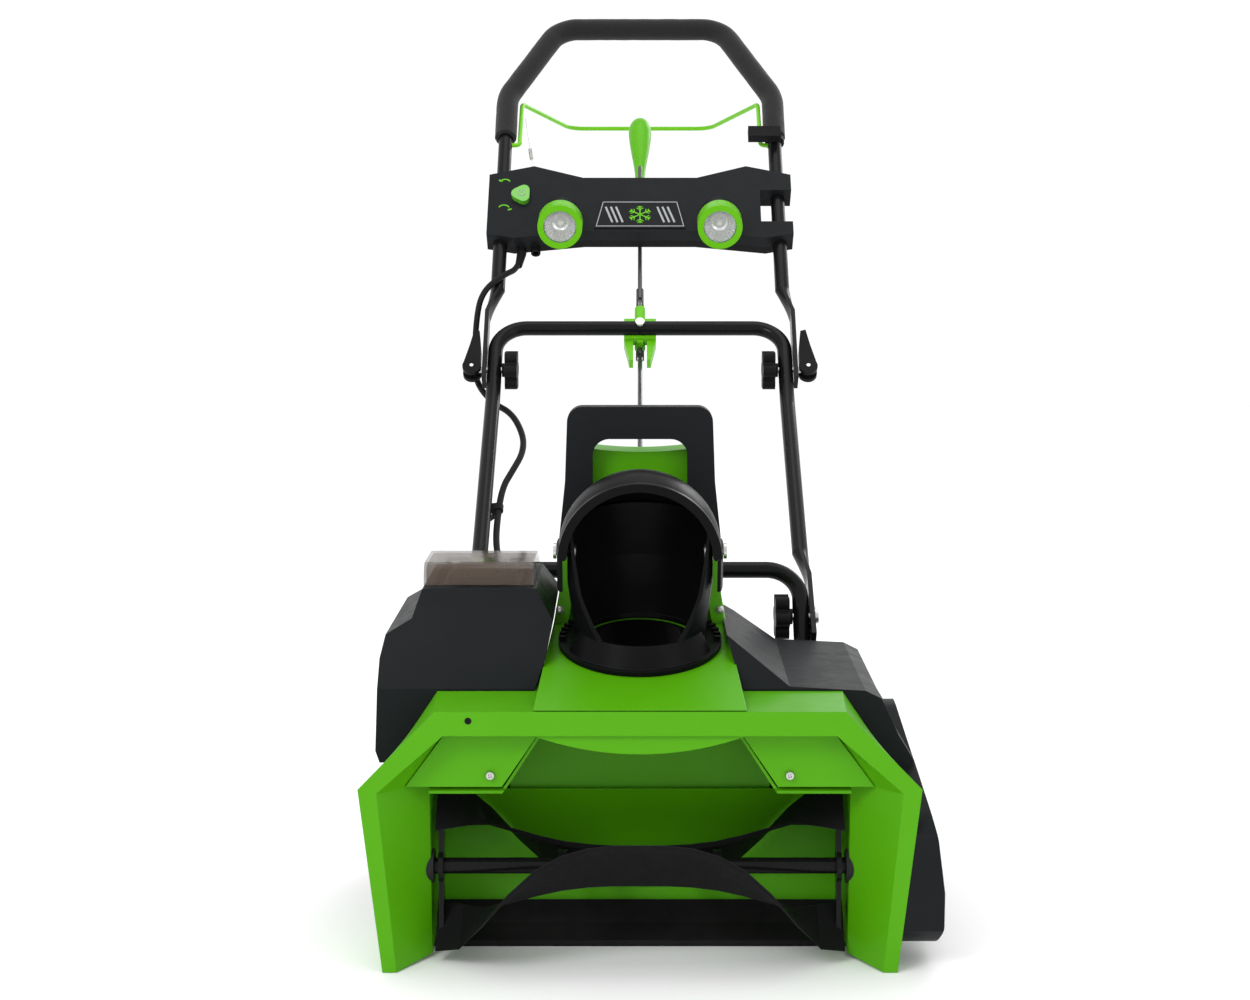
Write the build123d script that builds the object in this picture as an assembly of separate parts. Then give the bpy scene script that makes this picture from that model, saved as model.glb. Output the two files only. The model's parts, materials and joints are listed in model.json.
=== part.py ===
from build123d import *
import math
import os

# Battery snow thrower: a single-stage machine that clears a 508 mm (20 inch) wide path.
# Millimetres, -Y forward, +Z up. Left and right are as seen from in front: +X is right.
# The origin is the middle of the scraper bar's bottom face, on the ground.

WALL = 3.0                      # moulded plastic wall
FIT = 0.05                      # radial clearance of a turning fit
GAP = 0.3                       # clearance between bodies that pass each other

# Auger housing
RIM_Y = -85.0                   # front plane of the intake rim
HOOD_REAR_Y = 62.0
LIP_BOTTOM_Z = 237.0
ROOF_Z = 262.0
CHAMBER_HALF = 208.0            # half width of the auger chamber
AUGER_Y, AUGER_Z = -28.0, 90.0
AUGER_R = 84.0
SCROLL_R = 90.0
SHAFT_R = 8.0
HOUSING_REAR_Y = 236.0

# Chute, turning about an axis that leans forward
CHUTE_TILT = 12.5
CHUTE_Y = 70.0
FLANGE_R = 84.0
PIPE_R = 74.0
PIPE_FOOT_R = 66.0
PIPE_FLARE = 70.0               # where the pipe reaches its full radius, along the chute axis
PIPE_TOP = 128.0
PIVOT_H = 102.0                 # deflector pivot, along the chute axis
DEFLECTOR_R = 83.0
FLANGE_TOP = 6.0                # top of the chute's flange, along its axis
RING_TOOTH = 4.0                # height of the ring of teeth on the flange
RING_TEETH = 48
PINION_TEETH = 12
TOOTH_R = 79.5                  # pitch radius of the ring of teeth

# Handle frames
TUBE_R = 9.5
TUBE_BORE_R = 8.0
LEG_X = 188.0                   # mid frame legs
UPPER_X = 189.0                 # upper frame legs
LOWER_X = 183.0                 # lower frame legs
LOWER_JOINT = (291.0, 280.0)    # (y, z) of the lower bolts
MID_BEND = (620.0, 497.0)
FOLD = (655.0, 532.0)           # (y, z) of the fold axis
CROSSBAR = (706.0, 583.0)
HANDLE_ANGLE = 46.6             # slope of the upper frame
PLATE = 5.5                     # flattened tube thickness
BOLT_R = 4.0
BOLT_END_X = 221.0              # outer end of the fold bolts
CAM_X = 217.0                   # cam pivot

# Crank rods
ROD_R = 3.0
ROD_BACK = 24.0                 # rod axis behind the plane of the upper frame
LOWER_ROD_ANGLE = 20.0
CRANK_ARM = 45.0
CRANK_S = 390.0                 # crank arm, along the upper frame from the fold axis
SLEEVE_TOP = 124.0              # end of the bracket's sleeve, along the upper frame
STUB_TOP = 128.0                # end of the short rod, where its tongue starts
TONGUE_TOP = 138.0

# Bail and lamps
BAIL_S = 405.0                  # bail pivot, along the upper frame
BAIL_R = 3.0
LAMP_X = 107.0
LAMP_DOWN = 15.0                # degrees that the lamps point down

# Wheels and drive
AXLE_Y, AXLE_Z = 225.0, 89.0
WHEEL_R = 89.0
MOTOR_Y, MOTOR_Z = 112.0, 176.0
PULLEY_X = 262.0
PULLEY_WIDTH = 10.0
AUGER_PULLEY_R = 42.0
MOTOR_PULLEY_R = 12.0
BELT_COVER_Y = -84.0            # flat front of the belt cover

CABLE_R = 4.0

parts = {}


# ---------------------------------------------------------------- helpers

def outline_face(plane, outline, inset):
    """Closed polygon on a plane, moved inwards by the inset."""
    face = make_face(Polyline(*outline, close=True))
    if inset:
        face = offset(face, amount=-inset, kind=Kind.INTERSECTION)
    return plane * face


def prism_x(outline, low, high, inset=0.0):
    """Solid with a (y, z) outline between two x positions."""
    return extrude(outline_face(Plane.YZ.offset(low), outline, inset), high - low)


def prism_y(outline, low, high, inset=0.0):
    """Solid with an (x, z) outline between two y positions."""
    return extrude(outline_face(Plane.XZ.offset(-high), outline, inset), high - low)


def prism_z(outline, low, high, inset=0.0):
    """Solid with an (x, y) outline between two z positions."""
    return extrude(outline_face(Plane.XY.offset(low), outline, inset), high - low)


def both_sides(right):
    """An (x, z) outline completed by its mirror image."""
    return list(right) + [(-x, z) for x, z in reversed(right)]


def loft_y(sections):
    """Ruled solid through (y, outline) sections."""
    faces = [Plane.XZ.offset(-y) * make_face(Polyline(*outline, close=True)) for y, outline in sections]
    return loft(faces, ruled=True)


def rod(start, end, radius, bore=0.0):
    """Round bar or tube from one point to another."""
    axis = Vector(*end) - Vector(*start)
    face = Circle(radius)
    if bore:
        face -= Circle(bore)
    return extrude(Plane(origin=start, z_dir=axis) * face, axis.length)


def tube(points, radii, radius, bore=0.0):
    """Tube along straight runs joined by tangent arcs."""
    path = FilletPolyline(*points, radius=radii)
    face = Circle(radius)
    if bore:
        face -= Circle(bore)
    return sweep(Plane(origin=path @ 0, z_dir=path % 0) * face, path=path)


def box(low, high):
    """Block between two corners."""
    size = [b - a for a, b in zip(low, high)]
    middle = [(a + b) / 2 for a, b in zip(low, high)]
    return Pos(*middle) * Box(*size)


def left_right(shape):
    """The shape and its mirror image, as separate solids."""
    return Compound(children=solids_of(shape) + solids_of(mirror(shape, about=Plane.YZ)))


def solids_of(shape):
    return list(shape.solids())


def group(*shapes):
    """Several separate pieces kept in one node."""
    pieces = []
    for shape in shapes:
        pieces += solids_of(shape)
    return Compound(children=pieces)


def handle_point(x, s, back=0.0):
    """Point of the upper frame: s along it from the fold axis, back behind its plane."""
    angle = math.radians(HANDLE_ANGLE)
    y = FOLD[0] + s * math.cos(angle) + back * math.sin(angle)
    z = FOLD[1] + s * math.sin(angle) - back * math.cos(angle)
    return (x, y, z)


HANDLE_DIR = Vector(0, math.cos(math.radians(HANDLE_ANGLE)), math.sin(math.radians(HANDLE_ANGLE)))
HANDLE_FRONT = Vector(0, -HANDLE_DIR.Z, HANDLE_DIR.Y)


def handle_plane(s=0.0, back=0.0):
    """Plane across the upper frame: its z runs up the frame, its x is the row's x."""
    return Plane(origin=handle_point(0, s, back), x_dir=(1, 0, 0), z_dir=HANDLE_DIR)


def panel_prism(outline, back_low, back_high, inset=0.0):
    """Solid with an (x, s) outline in the upper frame's plane, between two depths behind it."""
    plane = Plane(origin=handle_point(0, 0, back_high), x_dir=(1, 0, 0), z_dir=HANDLE_FRONT)
    return extrude(outline_face(plane, outline, inset), back_high - back_low)


def handle_box(x_low, x_high, s_low, s_high, back_low, back_high):
    outline = [(x_low, s_low), (x_high, s_low), (x_high, s_high), (x_low, s_high)]
    return panel_prism(outline, back_low, back_high)


DECK_ORIGIN_Z = ROOF_Z + (CHUTE_Y - RIM_Y) * math.tan(math.radians(CHUTE_TILT))
CHUTE_PLANE = Plane(
    origin=(0, CHUTE_Y, DECK_ORIGIN_Z),
    x_dir=(1, 0, 0),
    z_dir=(0, -math.sin(math.radians(CHUTE_TILT)), math.cos(math.radians(CHUTE_TILT))),
)


def chute_point(x, y, h):
    """Point in the chute's own leaning frame: h along its axis from the deck."""
    return CHUTE_PLANE.from_local_coords(Vector(x, y, h))


# ---------------------------------------------------------------- auger housing

RIM = [(252, 0), (273, 184), (198, 261)]
REAR = [(228, 12), (240, 186), (206, ROOF_Z)]
MOUTH = [(237, -20), (256, 180), (190, LIP_BOTTOM_Z)]
CHAMBER = [(CHAMBER_HALF - 1, -20), (CHAMBER_HALF, 178), (188, LIP_BOTTOM_Z)]


def blend_outline(first, second, share):
    return [(a + (c - a) * share, b + (d - b) * share) for (a, b), (c, d) in zip(first, second)]


def grown(right, amount):
    """Outline of one side moved outwards, its bottom kept."""
    return [(x + amount, z + (amount if z > 200 else 0)) for x, z in right]


def hood_solid(inset, front):
    """Outside of the housing from a front plane to its rear, moved inwards by the inset."""
    share = (front - RIM_Y) / (HOOD_REAR_Y - RIM_Y)
    start = blend_outline(RIM, REAR, share)
    if not inset:
        return loft_y([(front, both_sides(start)), (HOOD_REAR_Y, both_sides(REAR))])
    rear_y = HOOD_REAR_Y + 1
    start = [(x - inset, z + (inset if z < 100 else -inset)) for x, z in start]
    rear = [(x - inset, z + (inset if z < 100 else -inset)) for x, z in REAR]
    return loft_y([(front, both_sides(start)), (rear_y, both_sides(rear))])


def chamber_solid(growth):
    """Inside of the housing, open at the front, the rear and below."""
    mouth = both_sides(grown(MOUTH, growth))
    chamber = both_sides(grown(CHAMBER, growth))
    flared = loft_y([(RIM_Y - 1, mouth), (-40, chamber)])
    return flared + prism_y(chamber, -40, HOOD_REAR_Y + 2)


def throat_solid():
    """Way from the auger chamber up to the chute's round opening."""
    count = 12
    foot_z = 232.0
    foot = []
    head = []
    for i in range(count):
        turn = 2 * math.pi * (i + 0.5) / count
        reach = 1.0 / max(abs(math.cos(turn)), abs(math.sin(turn)))
        foot.append(Vector(84 * math.cos(turn) * reach, 2 + 50 * math.sin(turn) * reach, foot_z))
        head.append(chute_point(61 * math.cos(turn), 61 * math.sin(turn), -2.0))
    faces = [make_face(Polyline(*ring, close=True)) for ring in (foot, head)]
    funnel = loft(faces, ruled=True)
    collar = extrude(CHUTE_PLANE.offset(-6) * Circle(61), 20)
    return funnel + collar + box((-84, -48, foot_z - 8), (84, 52, foot_z))


def auger_housing():
    throat = throat_solid()
    hood = hood_solid(0, RIM_Y) - chamber_solid(0)
    hood -= hood_solid(WALL, -62) - chamber_solid(WALL)
    lip_arc = make_face(
        [
            ThreePointArc((-105, LIP_BOTTOM_Z), (0, LIP_BOTTOM_Z - 19), (105, LIP_BOTTOM_Z)),
            Line((105, LIP_BOTTOM_Z), (-105, LIP_BOTTOM_Z)),
        ]
    )
    hood += extrude(Plane.XZ.offset(-RIM_Y + -18) * lip_arc, 14)
    hood -= throat
    for side in (-1, 1):
        hood -= rod((side * 200, AUGER_Y, AUGER_Z), (side * 222, AUGER_Y, AUGER_Z), 17)
        hood -= rod((side * 222, AUGER_Y, AUGER_Z), (side * 262, AUGER_Y, AUGER_Z), SHAFT_R + 2)
    parts["front_hood"] = hood

    scraper_outline = [(-11, 0), (10, 0), (44, 24), (37, 33), (15, 15.5), (-11, 5.5)]
    scraper = prism_x(scraper_outline, -CHAMBER_HALF - 12, CHAMBER_HALF + 12) - hood
    parts["scraper_bar"] = largest(scraper)

    start, end = math.radians(-46), math.radians(112)

    def scroll_point(radius, turn):
        return (AUGER_Y + radius * math.cos(turn), AUGER_Z + radius * math.sin(turn))

    middle = (start + end) / 2
    inner, outer = SCROLL_R, SCROLL_R + WALL
    sheet = make_face(
        [
            ThreePointArc(*[scroll_point(inner, t) for t in (start, middle, end)]),
            Line(scroll_point(inner, end), scroll_point(outer, end)),
            ThreePointArc(*[scroll_point(outer, t) for t in (end, middle, start)]),
            Line(scroll_point(outer, start), scroll_point(inner, start)),
        ]
    )
    half = CHAMBER_HALF - 1.5
    scroll = extrude(Plane.YZ.offset(-half) * sheet, 2 * half)
    throat_front = [(-150, 150), (150, 150), (93, 236), (-93, 236)]
    scroll -= prism_y(throat_front, -80, HOOD_REAR_Y - WALL)
    for side in (-1, 1):
        cheek = [(131, 178), (134.5, 178), (96.5, 236.5), (93, 236.5)]
        scroll += prism_y([(side * x, z) for x, z in cheek], -60, HOOD_REAR_Y - WALL)
    back = [(48, 140), (51, 139), (HOOD_REAR_Y - 1, 236.5), (HOOD_REAR_Y - 4, 236.5)]
    scroll += prism_x(back, -134, 134)
    parts["scroll_liner"] = scroll - parts["scraper_bar"] - hood - throat

    baffle = [(134.8, 181), (97, 236.8), (188, 236.8), (229, 181)]
    baffles = left_right(prism_y(baffle, -64, -61) - hood)
    parts["side_baffles"] = group(*[s - parts["scroll_liner"] for s in solids_of(baffles)])

    bearing = rod((205, AUGER_Y, AUGER_Z), (216, AUGER_Y, AUGER_Z), 17, SHAFT_R + FIT)
    parts["auger_bearings"] = left_right(bearing)


def largest(shape):
    """Main solid of a cut, without loose slivers."""
    return max(solids_of(shape), key=lambda solid: solid.volume)


# ---------------------------------------------------------------- auger and drive

def paddle_turn(x):
    """Direction of a paddle's edge at x: degrees up from straight ahead."""
    return 31 - 100 * min(abs(x) / 185, 1.0) ** 3


def paddle(offset_turn):
    """Twisted rubber strip whose ends lead and whose middle trails."""
    faces = []
    reach = CHAMBER_HALF - 5
    steps = 16
    for i in range(steps + 1):
        x = -reach + 2 * reach * i / steps
        turn = math.radians(paddle_turn(x) + offset_turn)
        corners = []
        for radial, tangent in ((AUGER_R, 0), (AUGER_R - 2.5, -5), (32, -28), (34.5, -23)):
            y = AUGER_Y - radial * math.cos(turn) + tangent * math.sin(turn)
            z = AUGER_Z + radial * math.sin(turn) + tangent * math.cos(turn)
            corners.append(Vector(x, y, z))
        faces.append(make_face(Polyline(*corners, close=True)))
    return loft(faces, ruled=True)


def auger():
    parts["auger_shaft"] = rod((-216, AUGER_Y, AUGER_Z), (278, AUGER_Y, AUGER_Z), SHAFT_R)
    paddles = [paddle(0), paddle(180)]
    parts["auger_paddles"] = group(*paddles)
    brackets = []
    for x, width in ((-198, 5), (-77, 9), (-43, 9), (43, 9), (77, 9), (198, 5)):
        turn = paddle_turn(x)
        hub = rod((x - width / 2, AUGER_Y, AUGER_Z), (x + width / 2, AUGER_Y, AUGER_Z), 16)
        arm = Pos(x, 0, 0) * Box(width, 152, 13)
        arm = Pos(0, AUGER_Y, AUGER_Z) * Rot(-(turn - 14), 0, 0) * arm
        bracket = hub + arm - parts["auger_shaft"]
        for strip in paddles:
            bracket -= strip
        brackets.append(largest(bracket))
    parts["paddle_brackets"] = group(*brackets)
    parts["auger_pulley"] = pulley(AUGER_Y, AUGER_Z, AUGER_PULLEY_R) - parts["auger_shaft"]


def pulley(y, z, radius):
    """Belt pulley: a core between two flanges."""
    core = rod((PULLEY_X, y, z), (PULLEY_X + PULLEY_WIDTH, y, z), radius)
    for x in (PULLEY_X, PULLEY_X + PULLEY_WIDTH - 1.6):
        core += rod((x, y, z), (x + 1.6, y, z), radius + 4)
    return core


def belt_loop(radius_front, radius_rear, x_low, x_high):
    """Solid between two circles and their outer tangents."""
    dy, dz = MOTOR_Y - AUGER_Y, MOTOR_Z - AUGER_Z
    length = math.hypot(dy, dz)
    slope = math.atan2(dz, dy)
    lean = math.acos((radius_front - radius_rear) / length)
    points = []
    for sign in (1, -1):
        turn = slope + sign * lean
        front = (AUGER_Y + radius_front * math.cos(turn), AUGER_Z + radius_front * math.sin(turn))
        rear = (MOTOR_Y + radius_rear * math.cos(turn), MOTOR_Z + radius_rear * math.sin(turn))
        points += [front, rear] if sign == 1 else [rear, front]
    solid = prism_x(points, x_low, x_high)
    solid += rod((x_low, AUGER_Y, AUGER_Z), (x_high, AUGER_Y, AUGER_Z), radius_front)
    solid += rod((x_low, MOTOR_Y, MOTOR_Z), (x_high, MOTOR_Y, MOTOR_Z), radius_rear)
    return solid


def drive():
    start, end = PULLEY_X + 2.0, PULLEY_X + PULLEY_WIDTH - 2.0
    inner = belt_loop(AUGER_PULLEY_R + GAP, MOTOR_PULLEY_R + GAP, start - 1, end + 1)
    parts["drive_belt"] = belt_loop(AUGER_PULLEY_R + 3.5, MOTOR_PULLEY_R + 3.5, start, end) - inner
    shaft = rod((212, MOTOR_Y, MOTOR_Z), (PULLEY_X + 12, MOTOR_Y, MOTOR_Z), 5)
    parts["motor_pulley"] = pulley(MOTOR_Y, MOTOR_Z, MOTOR_PULLEY_R) + shaft
    motor = rod((138, MOTOR_Y, MOTOR_Z), (200, MOTOR_Y, MOTOR_Z), 41)
    motor += rod((200, MOTOR_Y, MOTOR_Z), (206, MOTOR_Y, MOTOR_Z), 16)
    motor -= rod((203, MOTOR_Y, MOTOR_Z), (207, MOTOR_Y, MOTOR_Z), 9)
    parts["motor"] = motor


# ---------------------------------------------------------------- covers

BATTERY_FRONT = [
    (-262, 188), (-266, 200), (-262, 292), (-257, 314), (-231, 329), (-222, 356),
    (-106, 356), (-89, 328), (-95, 292), (-110, 250), (-110, 240), (-207, 240), (-207, 188),
]
BATTERY_SIDE = [(0, 150), (0, 264), (40, 340), (54, 357), (204, 357), (228, 330), (236, 262), (236, 150)]
MOTOR_FRONT = [
    (270, 180), (276, 190), (260, 216), (242, 254), (226, 262), (150, 266), (88, 311),
    (94, 290), (108, 250), (108, 240), (207, 240), (207, 180),
]
MOTOR_SIDE = [(0, 150), (0, 264), (56, 330), (190, 330), (228, 300), (236, 262), (236, 150)]


def shell_cover(front, side, low, high):
    """Outside and inside of a moulded cover, from its front and side outlines."""
    outside = prism_y(front, 0, HOUSING_REAR_Y) & prism_x(side, low, high)
    inside = prism_y(front, 0, HOUSING_REAR_Y, WALL) & prism_x(side, low, high, WALL)
    return outside, inside


def covers():
    rear_outline = [
        (62.5, 45), (HOUSING_REAR_Y - 14, 45), (HOUSING_REAR_Y, 70), (HOUSING_REAR_Y, 239.5), (62.5, 239.5),
    ]
    outside = prism_x(rear_outline, -206.5, 206.5)
    inside = prism_x(rear_outline, -206.5 + WALL, 206.5 - WALL, WALL)
    inside += box((-206.5 + WALL, 62, 48), (206.5 - WALL, 70, 240))
    inside += box((-206.5 + WALL, 66, 200), (206.5 - WALL, HOUSING_REAR_Y - WALL, 240))
    rear = outside - inside
    legs = lower_frame_tube(0.0)
    rear -= legs
    rear -= rod((-260, AXLE_Y, AXLE_Z), (260, AXLE_Y, AXLE_Z), 6)
    rear -= rod((190, MOTOR_Y, MOTOR_Z), (215, MOTOR_Y, MOTOR_Z), 17)
    dock_block = box((-211, 82, 216), (-120, 184, 338))
    rear -= dock_block
    parts["rear_cover"] = rear - parts["scroll_liner"]

    hood_outside = hood_solid(0, RIM_Y)
    deck = deck_solid()
    outside, inside = shell_cover(BATTERY_FRONT, BATTERY_SIDE, -290, -60)
    bay = box((-213, 78, 340), (-118, 188, 360))
    opening = box((-203, 3, 236), (-113, HOUSING_REAR_Y - WALL, 246))
    housing = outside - inside - bay - opening - hood_outside - deck - legs
    housing = largest(housing - parts["rear_cover"] - dock_block)

    belt_block, cover = belt_cover_solids(hood_outside)
    parts["belt_cover"] = cover
    outside, inside = shell_cover(MOTOR_FRONT, MOTOR_SIDE, 60, 290)
    opening = box((112, 3, 236), (203, HOUSING_REAR_Y - WALL, 246))
    cover = outside - inside - opening - hood_outside - deck - legs
    cover -= rod((200, MOTOR_Y, MOTOR_Z), (290, MOTOR_Y, MOTOR_Z), 8)
    parts["motor_cover"] = largest(cover - parts["rear_cover"] - belt_block)

    parts["battery_dock"] = dock_block - box((-208, 85, 219), (-123, 181, 340))
    pack = box((-206, 87, 220), (-125, 179, 352))
    pack += box((-200, 100, 352), (-131, 166, 360))
    grip = box((-190, 118, 360), (-141, 148, 371)) - box((-182, 110, 360), (-149, 156, 366))
    parts["battery_pack"] = pack + grip

    lid_outline = [(66, 357.3), (70, 374), (80, 379), (152, 379), (197, 365), (200, 357.3)]
    lid = prism_x(lid_outline, -222, -109) - prism_x(lid_outline, -219.5, -111.5, 2.5)
    lid -= box((-219.5, 68.5, 350), (-111.5, 197.5, 361))
    hinge_y, hinge_z = 203.0, 360.8
    barrels = []
    for x in (-205, -136):
        lid += rod((x, hinge_y, hinge_z), (x + 10, hinge_y, hinge_z), 3.2)
        lid += box((x, 197, 357.8), (x + 10, hinge_y, 363.8))
        barrels += [x - 6, x + 10.5]
    lid -= rod((-230, hinge_y, hinge_z), (-100, hinge_y, hinge_z), 1.5 + FIT)
    parts["battery_lid"] = lid
    for x in (-205, -136):
        housing += rod((x - 6, hinge_y, hinge_z), (x + 16, hinge_y, hinge_z), 1.5)
        for post in (x - 6, x + 10.5):
            housing += box((post, hinge_y - 2.4, 353), (post + 5.5, hinge_y + 2.4, hinge_z + 2.4))
    parts["battery_housing"] = housing


def belt_cover_solids(hood_outside):
    """Space taken by the belt cover, and the cover itself: a shell round both pulleys."""
    side = belt_loop(74, 50, 240, 300) - box((200, -200, -100), (320, BELT_COVER_Y, 300))
    front = [
        (240, 4), (290, 6), (297, 45), (297, 80), (290, 132), (279, 180), (275, 196), (266, 235),
        (258, 250), (240, 250),
    ]
    outside = side & prism_y(front, -120, 200)
    inside = belt_loop(74 - WALL, 50 - WALL, 236, 300) & prism_y(front, -120, 200, 2.5)
    inside += belt_loop(74 - WALL, 50 - WALL, 200, 250)
    inside &= box((190, BELT_COVER_Y + WALL, -100), (320, 300, 400))
    return outside, largest(outside - inside - hood_outside)


# ---------------------------------------------------------------- deck, tower and chute

def deck_solid():
    rise = math.tan(math.radians(CHUTE_TILT))
    rear_y = 206.0
    plan = [(-103, RIM_Y + 1), (103, RIM_Y + 1), (91, 118), (88, rear_y), (-88, rear_y), (-91, 118)]
    side = [(RIM_Y, ROOF_Z), (rear_y, ROOF_Z), (rear_y, ROOF_Z + rise * (rear_y - RIM_Y))]
    return prism_z(plan, ROOF_Z, 340) & prism_x(side, -110, 110)


def tower():
    rise = math.tan(math.radians(CHUTE_TILT))
    deck = deck_solid()
    rear_y = 206.0
    hollow_side = [
        (140, 250), (rear_y - WALL, 250), (rear_y - WALL, 470), (162, 470), (162, 320), (140, 320),
    ]
    corners = [(-62, 489), (-74, 455), (-80, 384), (-90, 296), (90, 296), (80, 384), (74, 455), (62, 489)]
    saddle = make_face([Polyline(*corners), ThreePointArc((62, 489), (0, 484), (-62, 489))])
    block = extrude(Plane.XZ.offset(-rear_y) * saddle, rear_y - 158)
    shoulders = prism_y([(-90, 296), (90, 296), (80, 386), (-80, 386)], 118, 158)
    solid = deck + block + shoulders
    hollow_front = [
        (-84, 262), (84, 262), (75, 384), (69, 455), (56, 476), (-56, 476), (-69, 455), (-75, 384),
    ]
    inner = prism_y(hollow_front, 100, 300)
    solid -= inner & prism_x(hollow_side, -100, 100)
    keep_out = extrude(CHUTE_PLANE * Circle(FLANGE_R + 6), 260)
    solid -= keep_out
    solid -= throat_solid()
    axis = RodAxis()
    solid -= rod(axis.at(-16), axis.at(14), 25)
    solid -= rod(axis.at(10), axis.at(160), ROD_R + FIT)
    parts["chute_tower"] = largest(solid)


class RodAxis:
    """Line of the lower crank rod, from the pinion's middle to the universal joint."""

    def __init__(self):
        angle = math.radians(LOWER_ROD_ANGLE)
        self.direction = Vector(0, math.cos(angle), math.sin(angle))
        self.across = Vector(0, -math.sin(angle), math.cos(angle))
        pitch = chute_point(0, TOOTH_R, FLANGE_TOP + RING_TOOTH / 2)
        self.start = pitch + self.across * (TOOTH_R * PINION_TEETH / RING_TEETH)
        upper = Vector(*handle_point(0, 0, ROD_BACK))
        dy, dz = upper.Y - self.start.Y, upper.Z - self.start.Z
        cross = self.direction.Y * HANDLE_DIR.Z - self.direction.Z * HANDLE_DIR.Y
        self.length = (dy * HANDLE_DIR.Z - dz * HANDLE_DIR.Y) / cross
        joint = self.at(self.length)
        self.joint_s = (Vector(joint) - upper).dot(HANDLE_DIR)

    def at(self, distance):
        point = self.start + self.direction * distance
        return (point.X, point.Y, point.Z)


def chute():
    flange = extrude(CHUTE_PLANE.offset(0.6) * Circle(FLANGE_R), FLANGE_TOP - 0.6)
    skirt = loft([CHUTE_PLANE.offset(FLANGE_TOP) * Circle(80), CHUTE_PLANE.offset(26) * Circle(68)])
    wedge = Polyline((0, 0), (-120, -56), (-120, -120), (120, -120), (120, -56), close=True)
    skirt &= extrude(CHUTE_PLANE * make_face(wedge), 40)
    foot = CHUTE_PLANE.offset(FLANGE_TOP)
    pipe = loft([foot * Circle(PIPE_FOOT_R), CHUTE_PLANE.offset(PIPE_FLARE) * Circle(PIPE_R)])
    pipe += extrude(CHUTE_PLANE.offset(PIPE_FLARE) * Circle(PIPE_R), PIPE_TOP - PIPE_FLARE)
    inner = loft([
        foot * Circle(PIPE_FOOT_R - WALL),
        CHUTE_PLANE.offset(PIPE_FLARE) * Circle(PIPE_R - WALL),
    ])
    inner += extrude(CHUTE_PLANE.offset(PIPE_FLARE) * Circle(PIPE_R - WALL), PIPE_TOP)
    front_cut = prism_x([(-100, 24), (-54, 24), (-16, PIPE_TOP + 20), (-100, PIPE_TOP + 20)], -90, 90)
    pipe = pipe - CHUTE_PLANE * front_cut
    solid = flange + skirt + pipe - inner
    solid -= extrude(CHUTE_PLANE.offset(-1) * Circle(62), 40)
    for i in range(RING_TEETH):
        turn = (i + 0.5) * 360 / RING_TEETH
        if math.sin(math.radians(turn)) < -0.13:
            continue
        tooth = Rot(0, 0, turn) * Pos(TOOTH_R, 0, FLANGE_TOP + RING_TOOTH / 2) * Box(7, 3.2, RING_TOOTH)
        solid += CHUTE_PLANE * tooth
    pivot_hole = rod(chute_point(-100, 0, PIVOT_H), chute_point(100, 0, PIVOT_H), 4)
    parts["chute"] = solid - pivot_hole

    centre = chute_point(0, 0, PIVOT_H)
    ball = Pos(*centre) * (Sphere(DEFLECTOR_R) - Sphere(DEFLECTOR_R - WALL))
    keep = prism_x([(-28, 0), (130, -47), (130, 130), (-28, 130)], -100, 100)
    hood = ball & (CHUTE_PLANE.offset(PIVOT_H) * keep)
    band_face = Circle(DEFLECTOR_R + 1.5) - Circle(DEFLECTOR_R - 2)
    band = extrude(CHUTE_PLANE.offset(PIVOT_H - 36) * band_face, 44)
    band &= CHUTE_PLANE * box((-100, -22, 0), (100, 14, 200))
    rim = deflector_rim(centre)
    solid = hood + band + rim - rod(chute_point(-100, 0, PIVOT_H), chute_point(100, 0, PIVOT_H), 4 + FIT)
    parts["deflector"] = solid

    pin = rod(chute_point(PIPE_R - 8, 0, PIVOT_H), chute_point(DEFLECTOR_R + 3, 0, PIVOT_H), 4)
    pin += rod(chute_point(DEFLECTOR_R + 2, 0, PIVOT_H), chute_point(DEFLECTOR_R + 5, 0, PIVOT_H), 8)
    pin += rod(chute_point(PIPE_R - 9, 0, PIVOT_H), chute_point(PIPE_R - 6, 0, PIVOT_H), 7)
    parts["deflector_pins"] = left_right(pin)


def deflector_rim(centre):
    """Stiffening bead round the front edge of the deflector."""
    plane = Plane(origin=centre, x_dir=(1, 0, 0), z_dir=-CHUTE_PLANE.y_dir)
    ring = extrude(plane.offset(24) * (Circle(DEFLECTOR_R - 0.5) - Circle(DEFLECTOR_R - 9.5)), 5)
    return ring & (CHUTE_PLANE.offset(PIVOT_H) * box((-100, -60, 2), (100, 0, 100)))


def carry_handle():
    outer = make_face(
        FilletPolyline(
            (-86, 390), (-79, 455), (-76, 534), (76, 534), (79, 455), (86, 390),
            radius=[80, 16, 16, 80],
        )
        + Line((86, 390), (-86, 390))
    )
    corners = [(-58, 380), (-50, 440), (-50, 500), (50, 500), (50, 440), (58, 380)]
    window = make_face(
        FilletPolyline(*corners, radius=[60, 18, 18, 60])
        + Line((58, 380), (-58, 380))
    )
    loop = extrude(Plane.XZ.offset(-158) * (outer - window), 22)
    grip = rod((-60, 147, 517), (60, 147, 517), 9)
    loop += grip
    parts["carry_handle"] = loop - parts["chute_tower"]


# ---------------------------------------------------------------- wheels

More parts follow.
